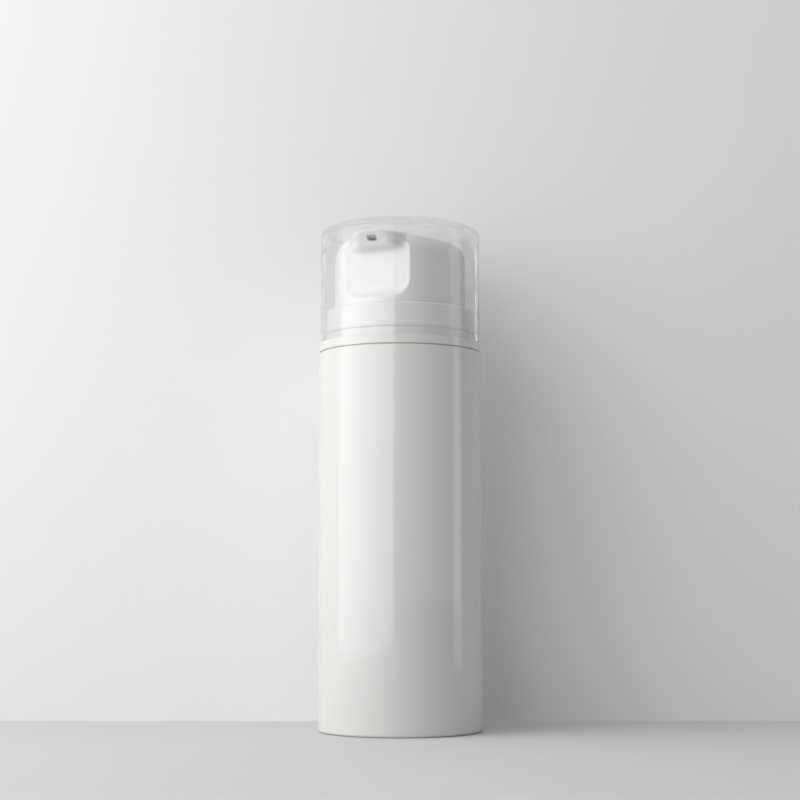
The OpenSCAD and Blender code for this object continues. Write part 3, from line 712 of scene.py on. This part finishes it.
class PUMP_BOTTLE_OT_barrel(bpy.types.Operator):
    """Turns the barrel with its shoulder, neck and the pocket for the base disc"""

    bl_idname = "pump_bottle.barrel"
    bl_label = "Barrel"

    def execute(self, context):
        sizes = context.scene.pump_bottle_sizes
        radius = high("bottle_body").x
        shoulder_z = low("shoulder_ring").z
        rim_z = high("bottle_body").z
        bore = radius - sizes.wall
        pocket = bore + sizes.pocket_step
        ceiling = shoulder_z - sizes.shoulder
        neck_in = sizes.neck_radius - sizes.neck_wall
        bead_z = (shoulder_z + rim_z) / 2
        foot = sizes.foot_edge
        profile = [
            (pocket, 0.0),
            *arc((radius - foot, foot), foot, -90, 0, 8),
            (radius, shoulder_z),
            (sizes.neck_radius, shoulder_z),
            (sizes.neck_radius, bead_z - sizes.neck_bead_half),
            (sizes.neck_radius + sizes.neck_bead, bead_z),
            (sizes.neck_radius, bead_z + sizes.neck_bead_half),
            (sizes.neck_radius, rim_z),
            (neck_in, rim_z),
            (neck_in, ceiling),
            (bore, ceiling),
            (bore, sizes.pocket_depth),
            (pocket, sizes.pocket_depth),
        ]
        bm = spun(profile)
        round_rims(bm, sizes.rounding)
        place(mesh_object("barrel", bm), "bottle_body", barrel_plastic(context.scene))
        return {"FINISHED"}


class PUMP_BOTTLE_OT_shoulder_ring(bpy.types.Operator):
    """Turns the ring that caps the barrel and carries the overcap"""

    bl_idname = "pump_bottle.shoulder_ring"
    bl_label = "Shoulder ring"

    def execute(self, context):
        sizes = context.scene.pump_bottle_sizes
        lo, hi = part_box("shoulder_ring")
        seam_r = hi.x - sizes.seam_depth
        seam_top = lo.z + sizes.seam_height
        seat_r = high("pump_collar").x - sizes.bead_out + FIT
        floor_z = low("pump_collar").z
        profile = [
            (sizes.collar_inner, lo.z),
            (seam_r, lo.z),
            (seam_r, seam_top),
            (hi.x, seam_top),
            (hi.x, hi.z),
            (seat_r, hi.z),
            (seat_r, floor_z),
            (sizes.collar_inner, floor_z),
        ]
        bm = spun(profile)
        round_rims(bm, sizes.ring_rounding)
        place(mesh_object("ring", bm), "shoulder_ring", barrel_plastic(context.scene))
        return {"FINISHED"}


class PUMP_BOTTLE_OT_collar(bpy.types.Operator):
    """Turns the collar round the pump head, with its floor and the overcap's snap bead"""

    bl_idname = "pump_bottle.collar"
    bl_label = "Collar"

    def execute(self, context):
        sizes = context.scene.pump_bottle_sizes
        lo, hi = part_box("pump_collar")
        outer = hi.x - sizes.bead_out
        floor_top = lo.z + sizes.collar_floor
        rim = sizes.collar_rim
        bead_z = high("shoulder_ring").z + sizes.bead_height
        bead_low, bead_high = bead_z - sizes.bead_half, bead_z + sizes.bead_half
        bead = [
            (outer + sizes.bead_out * cos(a) ** 0.8, bead_z + sizes.bead_half * sin(a))
            for a in [radians(step) for step in range(-75, 76, 15)]
        ]
        bm = spun([
            (sizes.collar_hole, lo.z),
            (outer, lo.z),
            (outer, bead_low),
            *bead,
            (outer, bead_high),
            *arc((outer - rim, hi.z - rim), rim, 0, 90, 6),
            (sizes.collar_inner, hi.z),
            (sizes.collar_inner, floor_top),
            (sizes.collar_hole, floor_top),
        ])
        round_rims(bm, sizes.collar_rounding)
        finish = context.scene.pump_bottle_finish
        material = moulded("collar white", finish.pump, finish.gloss)
        place(mesh_object("collar", bm), "pump_collar", material)
        return {"FINISHED"}


class PUMP_BOTTLE_OT_head(bpy.types.Operator):
    """Shapes the pump head with its flat face, its nozzle and its hollow inside"""

    bl_idname = "pump_bottle.head"
    bl_label = "Pump head"

    def execute(self, context):
        head = context.scene.pump_bottle_head
        lo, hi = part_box("actuator_shell")
        collar_top = high("pump_collar").z
        form = HeadForm(head, collar_top / MM, lo.z / MM, hi.x / MM)
        obj = mesh_object("head", head_mesh(form))
        cavity = hi.x - head.wall
        roof = head.crown_height - head.roof
        foot = lo.z - OVER
        low_front = form.face_low * MM - head.wall
        combine(obj, self.hollow(head, cavity, foot, roof))
        combine(obj, spun([
            (0.0, foot), (cavity, foot), (cavity, low_front), (0.0, low_front)
        ], closed=False))
        self.add_core_grip(obj, head, cavity, roof)
        self.cut_outlet(obj, head)
        finish = context.scene.pump_bottle_finish
        material = moulded("head white", finish.pump, finish.satin, grain=1200.0, depth=1e-6)
        place(obj, "actuator_shell", material)
        return {"FINISHED"}

    def hollow(self, head, cavity, foot, roof):
        """The room inside the head, with a flat front behind its face."""
        room = spun([
            (0.0, foot), (cavity, foot), (cavity, roof - 2 * head.wall),
            (cavity - head.wall, roof), (0.0, roof),
        ], closed=False)
        cut = bmesh.ops.bisect_plane(
            room, geom=room.verts[:] + room.edges[:] + room.faces[:], clear_outer=True, clear_inner=False,
            plane_co=(0, head.wall - head.face_distance, 0), plane_no=(0, -1, 0),
        )
        rim = [e for e in cut["geom_cut"] if isinstance(e, bmesh.types.BMEdge)]
        bmesh.ops.edgeloop_fill(room, edges=rim)
        bmesh.ops.recalc_face_normals(room, faces=room.faces)
        return room

    def add_core_grip(self, obj, head, cavity, roof):
        """Adds the inner tube that holds the core, and ribs on all sides but the outlet's."""
        tube_out = head.tube_inner + head.tube_wall
        tube_low, tube_high = roof - head.rib_height, roof + head.sunk
        combine(obj, spun([
            (head.tube_inner, tube_low), (tube_out, tube_low),
            (tube_out, tube_high), (head.tube_inner, tube_high),
        ]), "UNION")
        start, end = head.tube_inner + head.tube_wall / 2, cavity + head.sunk
        size = (end - start, head.rib_width, tube_high - tube_low)
        centre = ((start + end) / 2, 0, (tube_low + tube_high) / 2)
        for angle in range(-30, 211, 60):
            rib = block(size, centre)
            turn = Matrix.Rotation(radians(angle), 3, "Z")
            bmesh.ops.rotate(rib, verts=rib.verts, cent=ORIGIN, matrix=turn)
            combine(obj, rib, "UNION")

    def cut_outlet(self, obj, head):
        """Cuts the sloping slot and the seat of the core's spout behind it."""
        line_z = head.crown_height - SPOUT_DROP * MM
        seat = head.spout_seat
        end = head.lip_distance - head.spout_back
        half_w, half_h = head.slot_width / 2, head.slot_height / 2
        combine(obj, bar(half_w + seat, half_h + seat, 0.0, end + FIT, line_z, head.slot_tilt))
        combine(obj, bar(half_w, half_h, end - OVER, head.lip_distance + 2 * OVER, line_z, head.slot_tilt))


class PUMP_BOTTLE_OT_overcap(bpy.types.Operator):
    """Turns the clear overcap with its rounded top edge"""

    bl_idname = "pump_bottle.overcap"
    bl_label = "Overcap"

    def execute(self, context):
        scene = context.scene
        sizes = scene.pump_bottle_sizes
        lo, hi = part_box("overcap")
        inner = hi.x - sizes.cap_wall
        roof = hi.z - sizes.cap_top
        edge = sizes.cap_edge
        inner_edge = edge / 2
        small = sizes.cap_rounding
        bm = spun([
            (0.0, roof),
            *arc((inner - inner_edge, roof - inner_edge), inner_edge, 90, 0, 12),
            *arc((inner + small, lo.z + small), small, 180, 270, 5),
            *arc((hi.x - small, lo.z + small), small, 270, 360, 5),
            *arc((hi.x - edge, hi.z - edge), edge, 0, 90, 16),
            (0.0, hi.z),
        ], closed=False)
        place(mesh_object("cap", bm), "overcap", clear_plastic(scene))
        return {"FINISHED"}


class PUMP_BOTTLE_OT_spring(bpy.types.Operator):
    """Winds the return spring, at the length it has with the head at rest"""

    bl_idname = "pump_bottle.spring"
    bl_label = "Return spring"

    def execute(self, context):
        sizes = context.scene.pump_bottle_sizes
        lo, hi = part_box("return_spring")
        wire = sizes.wire
        end_rise = 2 * wire * END_TURN_PITCH
        open_rise = hi.z - lo.z - 2 * wire - 2 * end_rise
        bm = bmesh.new()
        bmesh.ops.create_circle(bm, segments=WIRE_STEPS, radius=wire)
        bmesh.ops.rotate(bm, verts=bm.verts, cent=ORIGIN, matrix=Matrix.Rotation(pi / 2, 3, "X"))
        bmesh.ops.translate(bm, verts=bm.verts, vec=(hi.x - wire, 0, lo.z + wire))
        last = bm.verts[:] + bm.edges[:]
        for turns, rise in ((1, end_rise), (sizes.turns - 2, open_rise), (1, end_rise)):
            steps = turns * COIL_STEPS
            last = bmesh.ops.spin(
                bm, geom=last, cent=ORIGIN, axis=UP, angle=2 * pi * turns, dvec=UP * rise / steps, steps=steps
            )["geom_last"]
        bmesh.ops.holes_fill(bm, edges=[e for e in bm.edges if e.is_boundary])
        bmesh.ops.recalc_face_normals(bm, faces=bm.faces)
        obj = mesh_object("spring", bm)
        steel = steel_wire("spring steel", context.scene.pump_bottle_finish.steel)
        place(obj, "return_spring", steel)
        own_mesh(obj)
        return {"FINISHED"}


class PUMP_BOTTLE_OT_inner_parts(bpy.types.Operator):
    """Finishes the CAD pieces that stay: the base disc, the pump's works and the follower"""

    bl_idname = "pump_bottle.inner_parts"
    bl_label = "Inner parts"

    def execute(self, context):
        finish = context.scene.pump_bottle_finish
        inner = moulded("inner white", finish.inner, roughness=0.34, grain=2200.0, depth=3e-6, spread=0.02)
        seal = rubbery("seal grey", finish.seal)
        steel = steel_wire("steel", finish.steel)
        barrel = barrel_plastic(context.scene)
        pieces = {
            "base_disc": barrel,
            "follower_piston": seal,
            "neck_gasket": seal,
            "pump_piston": seal,
            "pump_housing": inner,
            "housing_cap": inner,
            "inlet_seat": inner,
            "ball_cage": inner,
            "stem": inner,
            "stem_plug": inner,
            "snap_closure": inner,
            "actuator_core": inner,
            "inlet_ball": steel,
        }
        for name, material in pieces.items():
            for slot in frame["nodes"][name].material_slots:
                slot.material = material
        return {"FINISHED"}


class PUMP_BOTTLE_OT_studio(bpy.types.Operator):
    """Sets the floor, the backdrop, the light panels, the room's light and the camera"""

    bl_idname = "pump_bottle.studio"
    bl_label = "Studio"

    def execute(self, context):
        scene = context.scene
        studio = scene.pump_bottle_studio
        turn = Matrix.Rotation(studio.azimuth, 4, "Z")
        self.add_backdrop(studio, turn)
        self.add_lights(studio, turn)
        self.add_room(scene, studio)
        self.add_camera(scene, studio, turn)
        scene.view_settings.view_transform = "Standard"
        return {"FINISHED"}

    def add_backdrop(self, studio, turn):
        """A floor and an upright backdrop close behind the bottle."""
        reach = 2.0
        tall = 2.0
        drop = 0.05 * MM
        for name, colour in (("floor", studio.floor), ("backdrop", studio.backdrop)):
            bm = bmesh.new()
            bmesh.ops.create_grid(bm, x_segments=1, y_segments=1, size=reach)
            if name == "floor":
                bmesh.ops.translate(bm, verts=bm.verts, vec=(0, 0, -drop))
            else:
                bmesh.ops.scale(bm, verts=bm.verts, vec=(1, tall / 2 / reach, 1))
                bmesh.ops.rotate(bm, verts=bm.verts, cent=ORIGIN, matrix=Matrix.Rotation(pi / 2, 3, "X"))
                bmesh.ops.translate(bm, verts=bm.verts, vec=(0, studio.wall_gap, tall / 2))
            bmesh.ops.transform(bm, matrix=turn, verts=bm.verts)
            obj = mesh_object(name, bm)
            obj.data.materials.append(self.paper(name, colour, see_through_back=name == "backdrop"))

    def paper(self, name, colour, see_through_back):
        """Plain matt paper; the backdrop is left out where it is seen from behind."""
        material, tree, shader, where = new_material(name + " paper")
        if tree is None:
            return material
        pattern = noise(tree, where, PAPER_SCALE)
        tone = tinted(tree, pattern, shade_of(colour, 0.99), shade_of(colour, 1.01))
        tree.links.new(tone, shader.inputs["Base Color"])
        shader.inputs["Roughness"].default_value = 0.9
        shader.inputs["Specular IOR Level"].default_value = 0.1
        if see_through_back:
            passing = tree.nodes.new("ShaderNodeBsdfTransparent")
            behind = tree.nodes.new("ShaderNodeNewGeometry").outputs["Backfacing"]
            choose(tree, tree.nodes["Material Output"], behind, shader.outputs[0], passing.outputs[0])
        return material

    def add_lights(self, studio, turn):
        """A wide panel at the left with two above it, a narrow one at the right and one overhead."""
        left_back, left_front = Vector((-0.570, 0.030, 0)), Vector((-0.120, -0.830, 0))
        left_middle = (left_back + left_front) / 2
        right_back, right_front = Vector((0.449, 0.030, 0)), Vector((0.449, -0.096, 0))
        top_left, top_right = Vector((-0.8, -1.0, 1.0)), Vector((0.4, -1.0, 1.0))
        low_rise, upper_rise, right_rise, ahead = UP * 0.3, UP * 0.5, UP * 0.8, Vector((0, 1, 0))
        upper_front, upper_middle, upper_back = (
            spot + low_rise for spot in (left_front, left_middle, left_back)
        )
        panels = (
            ("left panel", left_front, left_back, low_rise, studio.left_light),
            ("upper back panel", upper_middle, upper_back, upper_rise, studio.upper_back_light),
            ("upper front panel", upper_front, upper_middle, upper_rise, studio.upper_front_light),
            ("right panel", right_back, right_front, right_rise, studio.right_light),
            ("top panel", top_left, top_right, ahead, studio.top_light),
        )
        for name, start, end, rise, brightness in panels:
            light = bpy.data.lights.new(name, "AREA")
            light.shape = "RECTANGLE"
            light.size = (end - start).length
            light.size_y = rise.length
            light.energy = brightness * pi * light.size * light.size_y
            obj = bpy.data.objects.new(name, light)
            bpy.context.scene.collection.objects.link(obj)
            centre = (start + end + rise) / 2
            side, upward = (end - start).normalized(), rise.normalized()
            back = side.cross(upward)
            if back.dot(centre) < 0:
                side, back = -side, -back
            grip = Matrix((side, upward, back)).transposed().to_4x4()
            obj.matrix_world = turn @ Matrix.Translation(centre) @ grip
            obj.visible_camera = False

    def add_room(self, scene, studio):
        """Even light from the room; what is seen of it, straight or in glass and gloss, is pale."""
        world = bpy.data.worlds.new("room")
        scene.world = world
        world.use_nodes = True
        tree = world.node_tree
        light = tree.nodes["Background"]
        light.inputs["Color"].default_value = (1, 1, 1, 1)
        light.inputs["Strength"].default_value = studio.ambient
        seen = tree.nodes.new("ShaderNodeBackground")
        seen.inputs["Color"].default_value = (1, 1, 1, 1)
        seen.inputs["Strength"].default_value = studio.room
        looked_at = ray_kinds(tree, "Is Camera Ray", "Is Glossy Ray", "Is Transmission Ray")
        choose(tree, tree.nodes["World Output"], looked_at, light.outputs[0], seen.outputs[0])

    def add_camera(self, scene, studio, turn):
        """The camera stands low in front of the bottle and looks slightly up."""
        data = bpy.data.cameras.new("camera")
        data.lens = studio.lens
        data.sensor_width = 36.0
        data.clip_start = 0.01
        data.clip_end = 20.0
        obj = bpy.data.objects.new("camera", data)
        scene.collection.objects.link(obj)
        spot = Matrix.Translation((0, -studio.distance, studio.height))
        obj.matrix_world = turn @ spot @ Matrix.Rotation(pi / 2 + studio.pitch, 4, "X")
        scene.camera = obj


class PUMP_BOTTLE_PT_pieces(bpy.types.Panel):
    """Lists the pieces, their sizes, the finishes and the studio"""

    bl_idname = "PUMP_BOTTLE_PT_pieces"
    bl_label = "Pump Bottle"
    bl_space_type = "VIEW_3D"
    bl_region_type = "UI"
    bl_category = "Pump Bottle"

    def draw(self, context):
        layout = self.layout
        for operator in OPERATORS:
            layout.operator(operator.bl_idname)
        for group in GROUPS:
            box = layout.box()
            settings = getattr(context.scene, group)
            for name in settings.__annotations__:
                box.prop(settings, name)


GROUPS = {
    "pump_bottle_sizes": PumpBottleSizes,
    "pump_bottle_head": PumpBottleHead,
    "pump_bottle_finish": PumpBottleFinish,
    "pump_bottle_studio": PumpBottleStudio,
}
OPERATORS = (
    PUMP_BOTTLE_OT_barrel,
    PUMP_BOTTLE_OT_shoulder_ring,
    PUMP_BOTTLE_OT_collar,
    PUMP_BOTTLE_OT_head,
    PUMP_BOTTLE_OT_overcap,
    PUMP_BOTTLE_OT_spring,
    PUMP_BOTTLE_OT_inner_parts,
    PUMP_BOTTLE_OT_studio,
)
CLASSES = (*GROUPS.values(), *OPERATORS, PUMP_BOTTLE_PT_pieces)


def register():
    """Registers the classes and hangs the settings on the scene."""
    for made in CLASSES:
        bpy.utils.register_class(made)
    for name, group in GROUPS.items():
        setattr(bpy.types.Scene, name, PointerProperty(type=group))


def unregister():
    """Takes away what register added."""
    for name in GROUPS:
        delattr(bpy.types.Scene, name)
    for made in reversed(CLASSES):
        bpy.utils.unregister_class(made)


def main():
    """Builds every piece and the studio."""
    register()
    for operator in OPERATORS:
        area, name = operator.bl_idname.split(".")
        getattr(getattr(bpy.ops, area), name)()


if __name__ == "__main__":
    main()
